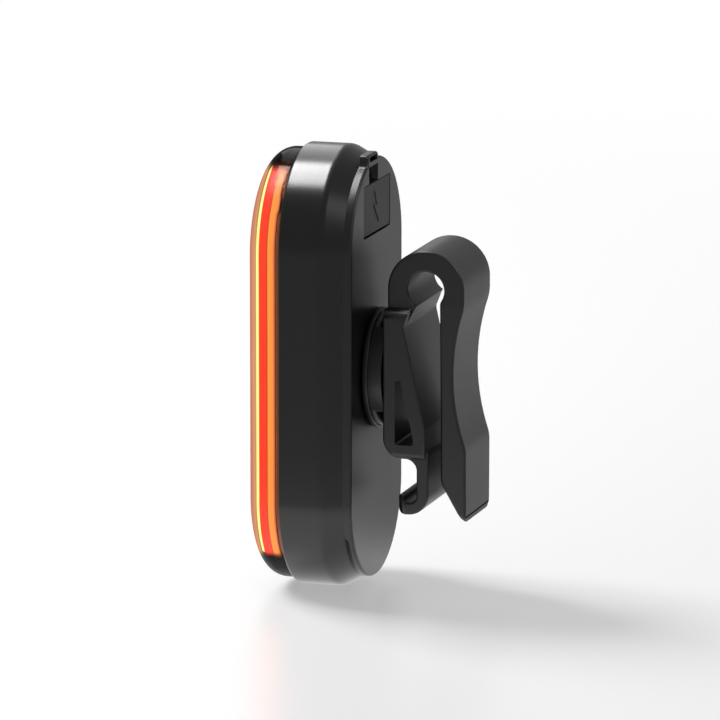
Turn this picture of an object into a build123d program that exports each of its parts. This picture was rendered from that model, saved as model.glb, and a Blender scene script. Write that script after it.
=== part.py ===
from build123d import *
import math
import os

# Rear light for a bicycle on a swivelling spring clip. All lengths are in millimetres.
# The origin is where the swivel axis meets the flat back of the light.
# X runs across the light, -Y out of its lens, +Y towards the clip and +Z up its length.

# Body outline, and its depths from the back to the front
body_width = 33.6
body_height = 75.0
plateau_height = 1.5
plateau_inset = 1.83
rear_bevel_depth = 3.4
side_wall_depth = 7.1
front_bevel_depth = 0.7
front_bevel_inset = 0.9
lens_height = 5.6

# Clearances
fit_gap = 0.1
running_gap = 0.05
flap_gap = 0.14
cut_overrun = 1.0

# Housing
housing_wall = 1.6
rear_land_thickness = 2.5
rear_opening_inset = 3.6
shoulder_inset = 4.0
shoulder_thickness = 1.0
boss_radius = 1.9
boss_height = 2.5
boss_web_width = 2.4
boss_gap = 0.5
boss_top_angle = 8.0
boss_bottom_angle = 57.0

# Seals
rear_seal_inset = 2.25
rear_seal_width = 0.8
rear_seal_height = 0.7
lens_seal_width = 0.8
lens_seal_height = 0.7
pivot_seal_radius = 0.42
pivot_seal_centre_radius = 5.5

# Lens
lens_wall = 0.8
lens_front_wall = 1.5
lens_crown = 0.3
lens_edge_radius = 3.6
lens_inner_edge_radius = 0.8
lens_foot_wall = 0.9
lens_foot_height = 0.4
lens_spigot_length = 1.6

# Light guide ring and the light strips on it
guide_gap = 0.15
guide_inner_inset = 5.2
guide_foot_rise = 2.85
guide_ring_height = 1.25
guide_bar_height = 1.35
bar_top_angle = 68.0
bar_bottom_angle = 42.0
strip_thickness = 0.6
strip_side_margin = 0.1
strip_width = 2.1
strip_end_angle = 3.0
strip_edge_radius = 0.45
lead_width = 2.4
lead_thickness = 0.2
lead_z = 7.0

# Centre panel and the button in it
panel_thickness = 1.0
panel_setback = 0.6
button_radius = 4.3
button_recess = 0.2
button_flange_radius = 5.2
button_flange_thickness = 0.8
button_stem_radius = 1.6
button_edge_radius = 0.5
button_travel = 0.5
indicator_z = -8.5
indicator_radius = 1.0
indicator_collar_radius = 1.6
indicator_collar_height = 0.8

# Circuit board and what is on it
board_thickness = 1.2
board_inset = 3.0
board_screw_radius = 0.8
board_screw_head_radius = 1.5
board_screw_head_height = 0.9
board_screw_length = 2.2
driver_size = 1.4
driver_depth = 0.5
switch_size = 6.0
switch_height = 3.4
plunger_radius = 1.7
plunger_height = 0.9
plunger_seat = 0.7
led_length = 1.6
led_width = 0.8
led_height = 0.6
chip_height = 0.9
chip_area_length = 12.0
chip_area_margin = 3.4
chip_layout_shares = [(-0.42, 0.30, 0.30, 0.40), (0.05, 0.18, 0.22, 0.28), (0.45, 0.30, 0.26, 0.28),
                      (-0.05, 0.62, 0.12, 0.16), (0.35, 0.72, 0.10, 0.10), (-0.45, 0.82, 0.12, 0.10)]

# Charging socket
socket_end_distance = 10.2
socket_width = 8.94
socket_depth = 3.26
socket_wall = 0.3
socket_setback = 0.8
socket_floor = 0.6
tongue_width = 6.7
tongue_thickness = 0.7
tongue_setback = 0.6
mouth_gap = 0.5

# Battery
battery_side_gap = 5.5
battery_end_gap = 11.0
battery_socket_distance = 18.2
battery_thickness = 2.9
battery_corner_radius = 1.2
pad_thickness = 0.4
pad_margin = 2.5
battery_lead_radius = 0.45
battery_lead_spread = 1.8
battery_lead_bend = 0.9
battery_lead_reach = 2.2

# Rear cover
cover_edge_radius = 0.45
spigot_wall = 1.2
spigot_length = 2.3
snap_width = 5.0
snap_wall = 1.0
snap_reach = 3.7
snap_catch = 0.6
snap_catch_height = 0.8
snap_end_distance = 6.7
pivot_pad_radius = 7.0
pivot_pad_height = 0.7
port_pad_width = 17.0
port_pad_margin = 1.4
port_pad_height = 1.3

# Rubber flap over the port, the notch above it and the lanyard bar across that
flap_width = 15.1
flap_height = 8.6
flap_drop = 4.35
flap_thickness = 0.95
flap_corner_radius = 1.1
flap_top_radius = 0.5
recess_corner_radius = 0.6
flap_plug_height = 0.75
flap_plug_gap = 0.4
flap_mark_height = 0.12
flap_mark_size = 5.6
anchor_width = 8.0
anchor_thickness = 0.8
anchor_foot_thickness = 1.8
anchor_foot_height = 0.6
notch_x = 2.0
notch_width = 5.2
notch_depth = 1.2
notch_height = 3.0
lanyard_slot_width = 4.4
lanyard_slot_height = 0.85
lanyard_bar_height = 0.75
lanyard_bar_thickness = 0.55
lanyard_rim = 0.4
lanyard_tab_side = 0.8
lanyard_tab_foot = 3.0
lanyard_tab_radius = 0.7

# Swivel
disc_radius = 10.1
disc_gap = 0.3
disc_thickness = 3.3
disc_rim_thickness = 1.0
disc_rim_step = 0.3
disc_edge_radius = 0.25
hub_radius = 3.0
bush_wall = 0.95
insert_radius = 2.0
insert_depth = 2.2
pivot_screw_radius = 1.25
pivot_screw_reach = 2.0
pivot_head_radius = 2.4
pivot_head_height = 0.9
washer_radius = 5.2
washer_thickness = 0.5
clip_pad_width = 11.0
clip_pad_height = 14.0
clip_gap = 0.4
clip_screw_radius = 0.9
clip_screw_head_radius = 1.8
clip_screw_head_height = 1.1
clip_screw_x = 4.6
clip_screw_z = 3.6
clip_screw_grip = 2.9
clip_screw_sink = 0.3

# Clip plate with its ramp, window and hook
clip_edge_radius = 0.4
plate_side_step = 2.0
plate_top_corner = 1.9
plate_bottom_corner = 1.2
plate_depth = 7.3
plate_drop = 13.5
plate_corner_radius = 3.6
plate_heel_radius = 0.8
plate_top_z = 11.9
plate_top_depth = 4.6
ramp_foot_z = -8.2
ramp_foot_radius = 2.5
ramp_top_z = 9.0
ramp_top_depth = 3.45
ramp_top_radius = 1.5
window_front_wall = 2.1
window_rear_wall = 2.05
window_floor_wall = 2.5
window_top_z = 0.0
window_corner_radius = 0.4
window_top_width = 0.95
hook_side_step = 0.8
hook_wall = 2.05
hook_rear_step = 0.35
hook_inner_radius = 2.0
hook_bend_radius = 3.5
hook_floor_radius = 1.2
hook_nose_radius = 1.6
hook_plan_radius = 1.8
hook_drop = 9.45
hook_reach = 5.45
hook_tip_wall = 1.2
hook_tip_rise = 1.2

# Spring loop and arm
loop_width = 16.4
loop_radius = 6.58
loop_wall = 3.47
loop_centre_depth = 6.84
loop_z = 15.0
cusp_rise = 2.9
cusp_depth = 5.0
cusp_radius = 0.5
arm_top_thickness = 4.2
arm_waist_thickness = 2.25
arm_toe_thickness = 4.38
arm_straight = 2.5
waist_radius = 36.0
shoulder_radius = 8.0
heel_radius = 6.1
waist_z = 0.5
arm_toe_z = -24.2
toe_bevel_z = -17.6
toe_bevel_radius = 4.0
toe_edge_radius = 0.45
toe_lip = 0.6
arm_waist_side_step = 0.45
arm_toe_side_step = 0.75
arm_corner_radius = 1.6

# Places that follow from the sizes above
land_y = -plateau_height
wall_rear_y = land_y - rear_bevel_depth
wall_front_y = wall_rear_y - side_wall_depth
lens_seat_y = wall_front_y - front_bevel_depth
lens_front_y = lens_seat_y - lens_height
spigot_end_y = lens_seat_y + lens_spigot_length
shoulder_y = spigot_end_y + lens_seal_height
board_front_y = shoulder_y + shoulder_thickness
board_rear_y = board_front_y + board_thickness
lens_foot_inset = housing_wall + fit_gap + lens_foot_wall
lens_inner_inset = front_bevel_inset + lens_wall
guide_outer_inset = lens_inner_inset + guide_gap
guide_foot_y = shoulder_y - guide_foot_rise
ring_front_y = guide_foot_y - guide_ring_height
bar_front_y = ring_front_y - guide_bar_height
strip_front_y = bar_front_y - strip_thickness
strip_outer_inset = guide_outer_inset + strip_side_margin
panel_front_y = lens_front_y + lens_front_wall + panel_setback
panel_rear_y = panel_front_y + panel_thickness
end_centre_z = (body_height - body_width) / 2
socket_z = body_height / 2 - socket_end_distance
flap_bottom_z = socket_z - flap_drop
flap_top_z = flap_bottom_z + flap_height
battery_top_z = socket_z - battery_socket_distance
battery_bottom_z = battery_end_gap - body_height / 2
battery_width = body_width - 2 * battery_side_gap
battery_length = battery_top_z - battery_bottom_z
battery_middle_z = (battery_top_z + battery_bottom_z) / 2
snap_z = end_centre_z - snap_end_distance
plate_width = loop_width + 2 * plate_side_step
hook_width = plate_width - 2 * hook_side_step
plate_front_y = disc_gap + disc_thickness + clip_gap
plate_rear_y = plate_front_y + plate_depth
loop_y = plate_front_y + loop_centre_depth
loop_hole_radius = loop_radius - loop_wall
arm_inner_y = loop_y + loop_radius - arm_top_thickness
flap_axis_y = -running_gap - flap_thickness / 2
flap_axis_z = flap_bottom_z + flap_thickness / 2
recess_y = -running_gap - flap_thickness - fit_gap
socket_mouth_y = recess_y - socket_setback
bush_outer_radius = hub_radius + running_gap + bush_wall
pivot_pad_y = land_y - pivot_pad_height
hub_end_y = pivot_pad_y - running_gap
port_pad_y = land_y - port_pad_height


def stadium(inset):
    """Outline of the light, drawn in by inset all round."""
    return SlotOverall(body_height - 2 * inset, body_width - 2 * inset, rotation=90)


def slab(sketch, rear_y, front_y):
    """The sketch of X and Z as a solid from rear_y forwards to front_y."""
    return extrude(Plane.XZ.offset(-rear_y) * sketch, amount=rear_y - front_y)


def band(outer_inset, inner_inset, rear_y, front_y):
    """A ring that follows the light's outline."""
    return slab(stadium(outer_inset) - stadium(inner_inset), rear_y, front_y)


def rod(radius, rear_y, front_y, x=0, z=0):
    """A round bar along Y."""
    return slab(Pos(x, z) * Circle(radius), rear_y, front_y)


def block(width, height, rear_y, front_y, x=0, z=0):
    """A rectangular bar along Y."""
    return slab(Pos(x, z) * Rectangle(width, height), rear_y, front_y)


def bevel(outer_inset, rear_y, inner_inset, front_y):
    """The outline tapering from one inset to another."""
    sections = [Plane.XZ.offset(-rear_y) * stadium(outer_inset),
                Plane.XZ.offset(-front_y) * stadium(inner_inset)]
    return loft(sections, ruled=True)


def profile(points, radii, width):
    """A closed outline of Y and Z with rounded corners, as wide as width across X."""
    outline = FilletPolyline(*points, radius=radii, close=True)
    return extrude(Plane.YZ * make_face(outline), amount=width / 2, both=True)


def cross_rod(radius, width, y, z):
    """A round bar along X."""
    return extrude(Plane.YZ * Pos(y, z) * Circle(radius), amount=width / 2, both=True)


def boss_places():
    """The four places where the board is screwed down."""
    reach = body_width / 2 - guide_inner_inset - boss_gap - boss_radius
    places = []
    for end, angle in ((1, boss_top_angle), (-1, boss_bottom_angle)):
        x = reach * math.cos(math.radians(angle))
        z = end_centre_z + reach * math.sin(math.radians(angle))
        places += [(-x, end * z), (x, end * z)]
    return places


def end_wedges(top_angle, bottom_angle):
    """The sectors at both ends of the outline that the light strips leave free."""
    reach = body_height
    sectors = Sketch()
    for side, angle in ((1, top_angle), (-1, bottom_angle)):
        spread = reach * math.cos(math.radians(angle))
        rise = reach * math.sin(math.radians(angle))
        points = [(0, side * end_centre_z),
                  (spread, side * (end_centre_z + rise)),
                  (-spread, side * (end_centre_z + rise))]
        sectors += make_face(Polyline(*points, close=True))
    return sectors


def make_housing():
    shell = bevel(plateau_inset, land_y, 0, wall_rear_y)
    shell += slab(stadium(0), wall_rear_y, wall_front_y)
    shell += bevel(0, wall_front_y, front_bevel_inset, lens_seat_y)
    land_inner_y = land_y - rear_land_thickness
    shell -= slab(stadium(housing_wall), land_inner_y, lens_seat_y - cut_overrun)
    shell -= slab(stadium(rear_opening_inset), land_y + cut_overrun, land_inner_y - cut_overrun)
    groove_outer = rear_seal_inset - running_gap
    groove_inner = rear_seal_inset + rear_seal_width + running_gap
    shell -= band(groove_outer, groove_inner, land_y + cut_overrun, land_y - rear_seal_height)
    shell += band(housing_wall, shoulder_inset, board_front_y, shoulder_y)
    for x, z in boss_places():
        wall_x = math.copysign(body_width / 2 - housing_wall, x)
        web = block(abs(wall_x - x), boss_web_width, board_front_y, shoulder_y, (x + wall_x) / 2, z)
        shell += web & slab(stadium(housing_wall), board_front_y, shoulder_y)
        shell += rod(boss_radius, board_front_y, board_front_y - boss_height, x, z)
    for x, z in boss_places():
        shell -= rod(board_screw_radius + running_gap, board_front_y + cut_overrun,
                     board_front_y - boss_height - cut_overrun, x, z)
    return shell


def make_lens():
    crown_radius = (body_height / 2) ** 2 / (2 * lens_crown)
    outer = domed_slab(front_bevel_inset, lens_front_y, crown_radius, lens_edge_radius)
    inner = domed_slab(lens_inner_inset, lens_front_y + lens_front_wall, crown_radius,
                       lens_inner_edge_radius)
    foot_front_y = lens_seat_y - lens_foot_height
    lens = outer - inner
    lens += band(front_bevel_inset, lens_foot_inset, lens_seat_y, foot_front_y)
    lens += band(housing_wall + fit_gap, lens_foot_inset, spigot_end_y, lens_seat_y)
    hole_radius = button_radius + 2 * fit_gap
    return lens - rod(hole_radius, panel_front_y, lens_front_y - cut_overrun)


def domed_slab(inset, front_y, crown_radius, edge_radius):
    """The outline from the lens seat up to a front that is lightly crowned along its length."""
    body = slab(stadium(inset), lens_seat_y, front_y)
    crown = Plane.YZ.offset(-body_width) * Pos(front_y + crown_radius, 0) * Circle(crown_radius)
    body = body & extrude(crown, amount=2 * body_width)
    rim_y = front_y + 2 * lens_crown
    rim = body.edges().filter_by(lambda edge: edge.center().Y < rim_y)
    return fillet(rim, edge_radius)


def make_light_guide():
    ring = band(lens_foot_inset + guide_gap, guide_inner_inset, shoulder_y, guide_foot_y)
    ring += band(guide_outer_inset, guide_inner_inset, guide_foot_y, ring_front_y)
    bars = stadium(guide_outer_inset) - stadium(guide_inner_inset)
    bars -= end_wedges(bar_top_angle, bar_bottom_angle)
    return ring + slab(bars, ring_front_y, bar_front_y)


def make_light_strip(side):
    line = stadium(strip_outer_inset) - stadium(strip_outer_inset + strip_width)
    line -= end_wedges(bar_top_angle - strip_end_angle, bar_bottom_angle - strip_end_angle)
    half = Pos(side * body_width / 2, 0) * Rectangle(body_width, body_height)
    strip = slab(line & half, bar_front_y, strip_front_y)
    front_edges = strip.faces().sort_by(Axis.Y)[0].edges()
    long_edges = [edge for edge in front_edges if edge.length > 2 * strip_width]
    return fillet(long_edges, strip_edge_radius)


def make_strip_lead(side):
    inner_x = body_width / 2 - strip_outer_inset - strip_width
    face_x = body_width / 2 - guide_inner_inset
    lead_x = face_x - fit_gap / 2 - lead_thickness / 2
    across = inner_x - lead_x + lead_thickness / 2
    over = block(across, lead_width, bar_front_y, bar_front_y - lead_thickness,
                 side * (inner_x - across / 2), lead_z)
    down = block(lead_thickness, lead_width, board_front_y, bar_front_y - lead_thickness,
                 side * lead_x, lead_z)
    return over + down


def make_centre_panel():
    plate = slab(stadium(guide_inner_inset + fit_gap), panel_rear_y, panel_front_y)
    ends = stadium(guide_outer_inset + fit_gap) - stadium(guide_inner_inset + panel_thickness)
    end_gap = math.degrees(fit_gap / (body_width / 2 - guide_inner_inset))
    ends = ends & end_wedges(bar_top_angle + end_gap, bar_bottom_angle + end_gap)
    panel = plate + slab(ends, ring_front_y, panel_front_y)
    panel -= rod(button_radius + fit_gap, ring_front_y + cut_overrun, panel_front_y - cut_overrun)
    panel -= rod(indicator_radius + running_gap, ring_front_y + cut_overrun,
                 panel_front_y - cut_overrun, 0, indicator_z)
    for side in (-1, 1):
        slot_x = side * (body_width / 2 - guide_inner_inset)
        panel -= block(2 * (lead_thickness + 2 * fit_gap), lead_width + 2 * fit_gap,
                       panel_rear_y + cut_overrun, panel_front_y - cut_overrun, slot_x, lead_z)
    return panel


def make_button():
    face_y = lens_front_y + button_recess
    flange_front_y = panel_rear_y + fit_gap
    flange_rear_y = flange_front_y + button_flange_thickness
    cap = rod(button_radius, flange_front_y, face_y)
    cap = fillet(cap.faces().sort_by(Axis.Y)[0].edges(), button_edge_radius)
    flange = rod(button_flange_radius, flange_rear_y, flange_front_y)
    stem_end_y = board_front_y - switch_height - plunger_height - running_gap
    return cap + flange + rod(button_stem_radius, stem_end_y, flange_rear_y)


def make_switch_body():
    top_y = board_front_y - switch_height
    body = block(switch_size, switch_size, board_front_y, top_y)
    bore_y = top_y + plunger_seat + button_travel + fit_gap
    return body - rod(plunger_radius + running_gap, bore_y, top_y - cut_overrun)


def make_switch_plunger():
    top_y = board_front_y - switch_height
    return rod(plunger_radius, top_y + plunger_seat, top_y - plunger_height)


def make_indicator_pipe():
    pipe = rod(indicator_radius, board_front_y - led_height - fit_gap, panel_front_y, 0, indicator_z)
    return pipe + rod(indicator_collar_radius, panel_rear_y + indicator_collar_height, panel_rear_y,
                      0, indicator_z)


def make_indicator_led():
    return block(led_length, led_width, board_front_y, board_front_y - led_height, 0, indicator_z)


def make_control_board():
    board = slab(stadium(board_inset), board_rear_y, board_front_y)
    for x, z in boss_places():
        board -= rod(board_screw_radius + running_gap, board_rear_y + cut_overrun,
                     board_front_y - cut_overrun, x, z)
    return board


def make_board_chips():
    half_width = body_width / 2 - board_inset
    bottom_z = battery_top_z + chip_area_margin
    chips = []
    for x_share, z_share, width_share, height_share in chip_layout_shares:
        chips.append(block(width_share * half_width, height_share * chip_area_length,
                           board_rear_y + chip_height, board_rear_y,
                           x_share * half_width, bottom_z + z_share * chip_area_length))
    return chips


def make_board_screws():
    head_y = board_rear_y + board_screw_head_height
    screws = []
    for x, z in boss_places():
        screw = rod(board_screw_head_radius, head_y, board_rear_y, x, z)
        screw += rod(board_screw_radius, board_rear_y, board_front_y - board_screw_length, x, z)
        drive = block(driver_size, driver_depth, head_y + cut_overrun, head_y - driver_depth, x, z)
        drive += block(driver_depth, driver_size, head_y + cut_overrun, head_y - driver_depth, x, z)
        screws.append(screw - drive)
    return screws


def socket_outline(inset):
    return Pos(0, socket_z) * SlotOverall(socket_width - 2 * inset, socket_depth - 2 * inset)


def make_charge_socket():
    shell = slab(socket_outline(0), socket_mouth_y, board_rear_y)
    return shell - slab(socket_outline(socket_wall), socket_mouth_y + cut_overrun,
                        board_rear_y + socket_floor)


def make_socket_tongue():
    return block(tongue_width, tongue_thickness, socket_mouth_y - tongue_setback,
                 board_rear_y + socket_floor, 0, socket_z)


def make_battery():
    pad_rear_y = board_rear_y + pad_thickness
    cell = block(battery_width, battery_length, pad_rear_y + battery_thickness, pad_rear_y,
                 0, battery_middle_z)
    return fillet(cell.edges().filter_by(Axis.Z), battery_corner_radius)


def make_battery_pad():
    return block(battery_width - 2 * pad_margin, battery_length - 2 * pad_margin,
                 board_rear_y + pad_thickness, board_rear_y, 0, battery_middle_z)


def make_battery_leads():
    start_z = battery_top_z
    start_y = board_rear_y + pad_thickness + battery_thickness / 2
    leads = []
    for side in (-1, 1):
        x = side * battery_lead_spread
        route = FilletPolyline((x, start_y, start_z), (x, start_y, start_z + battery_lead_reach),
                               (x, board_rear_y, start_z + battery_lead_reach),
                               radius=battery_lead_bend)
        end = Plane.XY.offset(start_z) * Pos(x, start_y) * Circle(battery_lead_radius)
        leads.append(sweep(end, path=route))
    return leads


def make_rear_seal():
    return band(rear_seal_inset, rear_seal_inset + rear_seal_width, land_y, land_y - rear_seal_height)


def make_lens_seal():
    outer_inset = housing_wall + fit_gap
    return band(outer_inset, outer_inset + lens_seal_width, shoulder_y, spigot_end_y)


def flap_outline(gap, corner_radius):
    """Outline of the flap, or of its recess when gap is above zero."""
    half = flap_width / 2 + gap
    bottom = flap_bottom_z - gap
    top = flap_top_z + gap
    points = [(-half, bottom), (half, bottom), (half, top), (-half, top)]
    radii = [corner_radius, corner_radius, flap_top_radius, flap_top_radius]
    return make_face(FilletPolyline(*points, radius=radii, close=True))


def cut_lanyard_bar(cover):
    """The fingernail notch, the slot above it and the way behind the bar between them."""
    notch_top_z = flap_top_z + notch_height
    slot_bottom_z = notch_top_z + lanyard_bar_height
    slot_top_z = slot_bottom_z + lanyard_slot_height
    notch_bottom_z = flap_top_z - flap_gap
    cover -= block(notch_width, notch_top_z - notch_bottom_z, cut_overrun, -notch_depth,
                   notch_x, (notch_top_z + notch_bottom_z) / 2)
    cover -= block(lanyard_slot_width, lanyard_slot_height, cut_overrun, -notch_depth,
                   notch_x, (slot_bottom_z + slot_top_z) / 2)
    cover -= block(lanyard_slot_width, slot_top_z - notch_bottom_z, -lanyard_bar_thickness, -notch_depth,
                   notch_x, (slot_top_z + notch_bottom_z) / 2)
    return cover


def cover_outline():
    """The raised back with the small tab that carries the lanyard bar."""
    tab_top_z = flap_top_z + notch_height + lanyard_bar_height + lanyard_slot_height + lanyard_rim
    tab_width = lanyard_slot_width + 2 * lanyard_tab_side
    tab = Pos(notch_x, tab_top_z - lanyard_tab_foot / 2) * RectangleRounded(tab_width, lanyard_tab_foot,
                                                                           lanyard_tab_radius)
    return stadium(plateau_inset) + tab


def make_rear_cover():
    spigot_inset = rear_opening_inset + fit_gap
    plate = slab(cover_outline(), 0, land_y)
    plate = fillet(plate.faces().sort_by(Axis.Y)[-1].edges(), cover_edge_radius)
    cover = plate + band(spigot_inset, spigot_inset + spigot_wall, land_y, land_y - spigot_length)
    inside = slab(stadium(spigot_inset), land_y, land_y - body_width)
    cover += rod(pivot_pad_radius, land_y, pivot_pad_y)
    port_height = flap_top_z - flap_bottom_z + 2 * port_pad_margin
    port_middle_z = (flap_top_z + flap_bottom_z) / 2
    cover += inside & block(port_pad_width, port_height, land_y, port_pad_y, 0, port_middle_z)
    for side in (-1, 1):
        for z in (-snap_z, snap_z):
            outer_x = body_width / 2 - spigot_inset
            catch_y = land_y - rear_land_thickness - fit_gap
            cover += block(snap_wall, snap_width, land_y, land_y - snap_reach,
                           side * (outer_x - snap_wall / 2), z)
            cover += block(snap_catch + snap_wall, snap_width, catch_y, catch_y - snap_catch_height,
                           side * (outer_x + (snap_catch - snap_wall) / 2), z)
    cover -= rod(bush_outer_radius, cut_overrun, pivot_pad_y - cut_overrun)
    seal_outer = pivot_seal_centre_radius + pivot_seal_radius + running_gap
    seal_inner = pivot_seal_centre_radius - pivot_seal_radius - running_gap
    cover -= slab(Circle(seal_outer) - Circle(seal_inner), cut_overrun, -2 * pivot_seal_radius)
    recess = flap_outline(flap_gap, recess_corner_radius)
    cover -= slab(recess, cut_overrun, recess_y)
    groove = cross_rod(flap_thickness / 2 + flap_gap, body_width, flap_axis_y, flap_axis_z)
    cover -= groove & slab(recess, cut_overrun, port_pad_y)
    cover -= slab(socket_outline(-mouth_gap), cut_overrun, port_pad_y - cut_overrun)
    cover -= block(anchor_width + 2 * running_gap, anchor_thickness + 2 * running_gap, 0,
                   port_pad_y - cut_overrun, 0, flap_axis_z)
    return cut_lanyard_bar(cover)


def bolt_mark():
    """A plain lightning bolt that stands for charging."""
    half = flap_mark_size / 2
    shares = [(0.45, 1.0), (-0.7, -0.18), (-0.08, -0.12), (-0.4, -1.0), (0.7, 0.2), (0.1, 0.12)]
    points = [(x_share * half, z_share * half) for x_share, z_share in shares]
    return Pos(0, socket_z) * make_face(Polyline(*points, close=True))


def make_port_flap():
    face_y = -running_gap
    outline = flap_outline(0, flap_corner_radius)
    panel = slab(outline, face_y, face_y - flap_thickness)
    rounding = slab(outline, cut_overrun, -flap_thickness - cut_overrun)
    hinge_edge = block(flap_width, flap_thickness / 2, face_y, face_y - flap_thickness, 0,
                       flap_bottom_z + flap_thickness / 4)
    panel -= hinge_edge
    panel += rounding & cross_rod(flap_thickness / 2, flap_width, flap_axis_y, flap_axis_z)
    plug_rear_y = face_y - flap_thickness
    panel += slab(socket_outline(flap_plug_gap - mouth_gap), plug_rear_y, plug_rear_y - flap_plug_height)
    return panel + slab(bolt_mark(), face_y + flap_mark_height, face_y)


def make_flap_anchor():
    top_y = flap_axis_y - flap_thickness / 2 - fit_gap
    neck = block(anchor_width, anchor_thickness, top_y, port_pad_y, 0, flap_axis_z)
    return neck + block(anchor_width, anchor_foot_thickness, port_pad_y,
                        port_pad_y - anchor_foot_height, 0, flap_axis_z)


def make_pivot_bush():
    return rod(bush_outer_radius, 0, pivot_pad_y) - rod(hub_radius + running_gap, cut_overrun,
                                                         pivot_pad_y - cut_overrun)


def make_pivot_seal():
    return Plane.XZ.offset(pivot_seal_radius) * Torus(pivot_seal_centre_radius, pivot_seal_radius)


def make_swivel_disc():
    rear_y = disc_gap + disc_thickness
    disc = rod(disc_radius, disc_gap + disc_rim_thickness, disc_gap)
    disc = fillet(disc.edges(), disc_edge_radius)
    disc += rod(disc_radius - disc_rim_step, rear_y, disc_gap)
    disc += rod(hub_radius, disc_gap, hub_end_y)
    disc += block(clip_pad_width, clip_pad_height, plate_front_y, rear_y)
    disc -= rod(insert_radius, insert_depth, hub_end_y - cut_overrun)
    for side in (-1, 1):
        disc -= rod(clip_screw_radius + running_gap, plate_front_y + cut_overrun, 0,
                    side * clip_screw_x, clip_screw_z)
        disc -= rod(clip_screw_head_radius + running_gap,
                    disc_gap + clip_screw_sink + clip_screw_head_height, 0,
                    side * clip_screw_x, clip_screw_z)
    return disc


def make_pivot_insert():
    return rod(insert_radius, insert_depth, hub_end_y) - rod(pivot_screw_radius, insert_depth + cut_overrun,
                                                              hub_end_y - cut_overrun)


def make_pivot_washer():
    front_y = hub_end_y - washer_thickness
    return rod(washer_radius, hub_end_y, front_y) - rod(pivot_screw_radius + running_gap,
                                                         hub_end_y + cut_overrun, front_y - cut_overrun)


def make_pivot_screw():
    seat_y = hub_end_y - washer_thickness
    head_y = seat_y - pivot_head_height
    screw = rod(pivot_head_radius, seat_y, head_y)
    screw += rod(pivot_screw_radius, pivot_screw_reach, seat_y)
    drive = block(2 * driver_size, driver_depth, head_y + driver_depth, head_y - cut_overrun)
    drive += block(driver_depth, 2 * driver_size, head_y + driver_depth, head_y - cut_overrun)
    return screw - drive


def make_clip_screws():
    head_front_y = disc_gap + clip_screw_sink
    head_rear_y = head_front_y + clip_screw_head_height
    screws = []
    for side in (-1, 1):
        x = side * clip_screw_x
        screw = rod(clip_screw_head_radius, head_rear_y, head_front_y, x, clip_screw_z)
        screw += rod(clip_screw_radius, plate_front_y + clip_screw_grip, head_rear_y, x, clip_screw_z)
        drive = block(driver_size, driver_depth, head_front_y + driver_depth, 0, x, clip_screw_z)
        drive += block(driver_depth, driver_size, head_front_y + driver_depth, 0, x, clip_screw_z)
        screws.append(screw - drive)
    return screws


def side_edges(solid, half_width):
    """The edges that bound the two flat sides of a clip piece."""
    reach = half_width - fit_gap / 2
    return [edge for edge in solid.edges() if all(abs(vertex.X) > reach for vertex in edge.vertices())
            and abs(edge.center().X) > reach]


def rounded_profile(points, radii, width):
    """A profile whose two flat sides have rounded edges."""
    solid = profile(points, radii, width)
    return fillet(side_edges(solid, width / 2), clip_edge_radius)


def plate_outline():
    """The clip plate seen from behind, with its rounded corners."""
    half = plate_width / 2
    points = [(-half, -plate_drop), (half, -plate_drop), (half, plate_top_z), (-half, plate_top_z)]
    radii = [plate_bottom_corner, plate_bottom_corner, plate_top_corner, plate_top_corner]
    return make_face(FilletPolyline(*points, radius=radii, close=True))


def make_clip_base():
    ramp_top_y = plate_front_y + ramp_top_depth
    points = [(plate_front_y, plate_top_z), (plate_front_y, -plate_drop), (plate_rear_y, -plate_drop),
              (plate_rear_y, ramp_foot_z), (ramp_top_y, ramp_top_z),
              (plate_front_y + plate_top_depth, plate_top_z)]
    radii = [clip_edge_radius, plate_corner_radius, plate_heel_radius, ramp_foot_radius, ramp_top_radius,
             clip_edge_radius]
    plate = rounded_profile(points, radii, plate_width)
    plate = plate & slab(plate_outline(), 2 * loop_y, 0)
    clip = plate + make_neck() + make_hook() - make_window()
    for side in (-1, 1):
        clip -= rod(clip_screw_radius + running_gap, plate_front_y + clip_screw_grip + fit_gap,
                    plate_front_y - cut_overrun, side * clip_screw_x, clip_screw_z)
    return clip


def make_window():
    """The triangular opening that goes through the plate from side to side."""
    slope = (plate_depth - ramp_top_depth) / (ramp_top_z - ramp_foot_z)
    front_y = plate_front_y + window_front_wall
    rear_y = plate_rear_y - window_rear_wall
    bottom_z = -plate_drop + window_floor_wall
    top_y = front_y + window_top_width
    slant_z = window_top_z - (rear_y - top_y) / slope
    points = [(front_y, bottom_z), (rear_y, bottom_z), (rear_y, slant_z), (top_y, window_top_z),
              (front_y, window_top_z)]
    return profile(points, window_corner_radius, 2 * plate_width)


def make_neck():
    """The part of the plate that rises into the spring loop, up to the loop's middle."""
    front_y = loop_y - loop_radius
    ramp_top_y = plate_front_y + ramp_top_depth
    cusp_z = ramp_top_z + cusp_rise
    points = [(front_y, loop_z), (front_y, 0), (ramp_top_y, 0), (ramp_top_y, ramp_top_z),
              (plate_front_y + cusp_depth, cusp_z), (loop_y, loop_z)]
    side = make_face(FilletPolyline(*points, radius=[0, 0, 0, ramp_top_radius, 0, 0], close=True))
    side -= Pos(loop_y, loop_z) * Circle(loop_hole_radius)
    side = fillet(side.vertices().sort_by(lambda vertex: cusp_distance(vertex, cusp_z))[0], cusp_radius)
    neck = extrude(Plane.YZ * side, amount=loop_width / 2, both=True)
    edges = [edge for edge in side_edges(neck, loop_width / 2)
             if abs(edge.center().Z - loop_z) > fit_gap and edge.center().Z > fit_gap]
    return fillet(edges, clip_edge_radius)


def cusp_distance(vertex, cusp_z):
    return abs(vertex.X - plate_front_y - cusp_depth) + abs(vertex.Y - cusp_z)


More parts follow.
